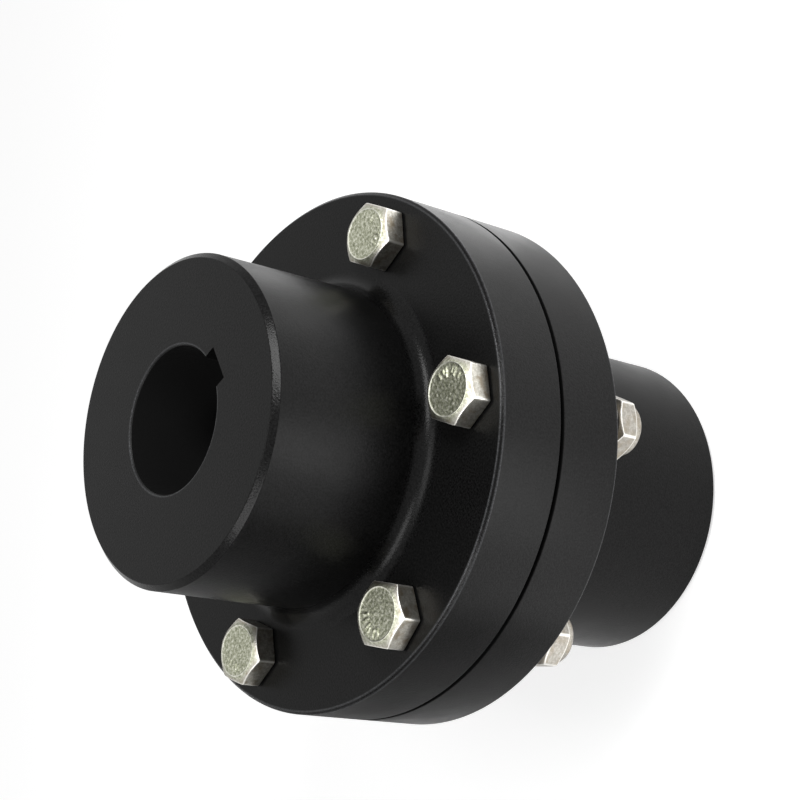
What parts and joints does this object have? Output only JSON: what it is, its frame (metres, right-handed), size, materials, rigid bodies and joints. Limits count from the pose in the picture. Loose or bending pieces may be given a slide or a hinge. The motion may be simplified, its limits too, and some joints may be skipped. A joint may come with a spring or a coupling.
{
  "type": "flange coupling",
  "caption": "Rigid flange coupling: keyed, flanged hubs of blackened steel, drawn face to face by a ring of hexagon bolts and nuts to join shafts end to end.",
  "frame": {"origin": "on the shaft axis, in the end face of the longer, rear hub, on which the coupling stands", "axes": "+Z along the shaft axis from the rear hub to the front hub; +Y through the middle of the keyways"},
  "size_m": [0.14, 0.14, 0.158],
  "materials": {
    "black_steel": "turned and blackened, satin",
    "zinc_bolts": "dull yellowish zinc plate",
    "zinc_nuts": "dull pale zinc plate",
    "spring_steel": "blued spring steel, oiled"
  },
  "bodies": {
    "root": {"front_half": "black_steel", "rear_half": "black_steel", "flange_bolts": "zinc_bolts", "flat_washers": "zinc_nuts", "spring_washers": "spring_steel", "flange_nuts": "zinc_nuts"}
  },
  "joints": []
}
